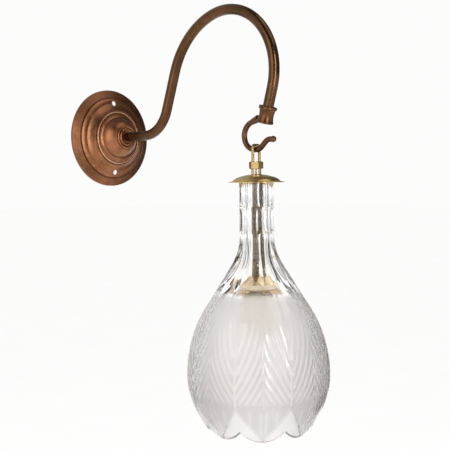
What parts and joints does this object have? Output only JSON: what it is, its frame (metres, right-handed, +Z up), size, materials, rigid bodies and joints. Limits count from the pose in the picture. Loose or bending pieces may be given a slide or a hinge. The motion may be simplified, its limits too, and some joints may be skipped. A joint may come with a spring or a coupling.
{
  "type": "wall light",
  "caption": "Wall light: a round stepped rose, a swan-neck arm ending in an open hook, and a tall bell-shaped cut glass shade that hangs from it on a brass loop.",
  "frame": {"origin": "centre of the wall rose's back face, on the wall", "axes": "the wall is the plane y = 0 and the arm reaches out of it towards -Y; +Z is up; +X is to the right of someone facing the wall"},
  "size_m": [0.1326, 0.2777, 0.3963],
  "materials": {
    "bronze": "aged copper bronze, satin lacquer",
    "steel": "plain zinc plated",
    "porcelain": "glazed white porcelain",
    "contact_brass": "plain machined",
    "spring_steel": "drawn wire",
    "bush_plastic": "matt black",
    "polished_brass": "polished",
    "nickel": "dull nickel plate",
    "cap_brass": "antique brass, satin with a bright rim",
    "felt": "grey felt",
    "cut_glass": "cut and satin etched clear glass",
    "disc_brass": "spun brass with fine rings",
    "seat_rubber": "matt",
    "holder_white": "moulded white, satin"
  },
  "bodies": {
    "bracket": {"rose_backplate": "bronze", "rose_dome": "bronze", "arm_boss": "bronze", "clamp_strap": "steel", "arm_washer": "steel", "arm_nut": "steel", "earth_tag": "contact_brass", "earth_screw": "steel", "terminal_block": "porcelain", "terminal_inserts": "contact_brass", "terminal_screws": "contact_brass", "block_screw": "steel", "swan_neck_arm": "bronze", "hook_collar": "bronze", "cable_bush": "bush_plastic"},
    "pendant": {"shackle": "polished_brass", "threaded_stem": "nickel", "saucer_cap": "cap_brass", "cap_washer": "felt", "glass_shade": "cut_glass", "support_disc": "disc_brass", "disc_gasket": "seat_rubber", "stem_washer": "steel", "stem_locknut": "disc_brass", "lampholder_cap": "holder_white", "lampholder_barrel": "holder_white", "shade_ring": "holder_white", "lampholder_insulator": "porcelain", "lampholder_terminals": "contact_brass", "plunger_spring_left": "spring_steel", "plunger_spring_right": "spring_steel"},
    "plunger_left": {"plunger_left": "contact_brass"},
    "plunger_right": {"plunger_right": "contact_brass"}
  },
  "joints": [
    {"name": "pendant_swing", "type": "hinge", "parent": "bracket", "child": "pendant", "pos_m": [0, -0.21142, -0.02029], "axis": [0, 1, 0], "range_deg": [-35, 35]},
    {"name": "plunger_left_press", "type": "slide", "parent": "pendant", "child": "plunger_left", "axis": [0, 0, 1], "range_m": [0, 0.003], "stiffness_N_per_m": 300, "springref_m": -0.002, "deforming": ["plunger_spring_left"]},
    {"name": "plunger_right_press", "type": "slide", "parent": "pendant", "child": "plunger_right", "axis": [0, 0, 1], "range_m": [0, 0.003], "stiffness_N_per_m": 300, "springref_m": -0.002, "deforming": ["plunger_spring_right"]}
  ]
}
